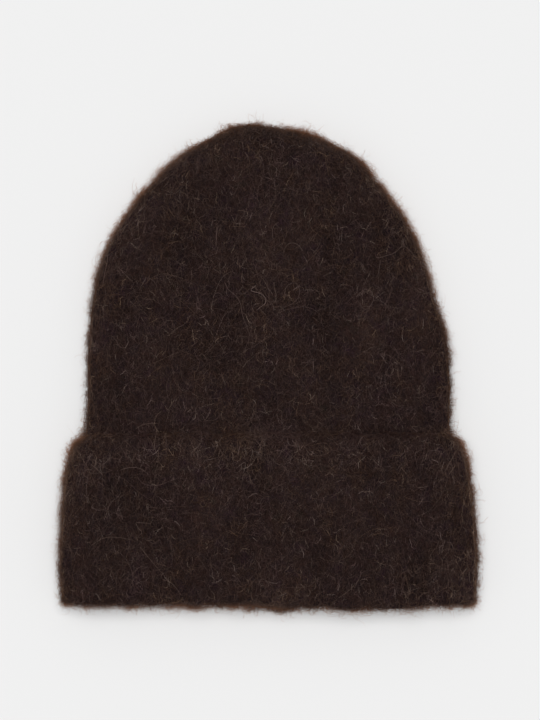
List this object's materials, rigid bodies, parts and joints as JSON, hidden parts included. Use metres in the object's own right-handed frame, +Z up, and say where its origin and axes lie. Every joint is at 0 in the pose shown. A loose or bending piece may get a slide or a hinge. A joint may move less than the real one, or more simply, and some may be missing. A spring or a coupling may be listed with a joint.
{
  "type": "knitted beanie",
  "caption": "Brushed rib-knit beanie with a deep turned-up cuff, lying flat; open at the hem, hollow inside.",
  "frame": {"origin": "on the surface that the beanie lies on, under the middle of its outline", "axes": "+X across the beanie, +Y from the hem to the tip of the crown, +Z up through its front"},
  "size_m": [0.2106, 0.2441, 0.0265],
  "materials": {
    "crown_knit": "brushed, matte",
    "cuff_knit": "brushed, matte"
  },
  "bodies": {
    "root": {"crown": "crown_knit", "cuff": "cuff_knit"}
  },
  "joints": []
}
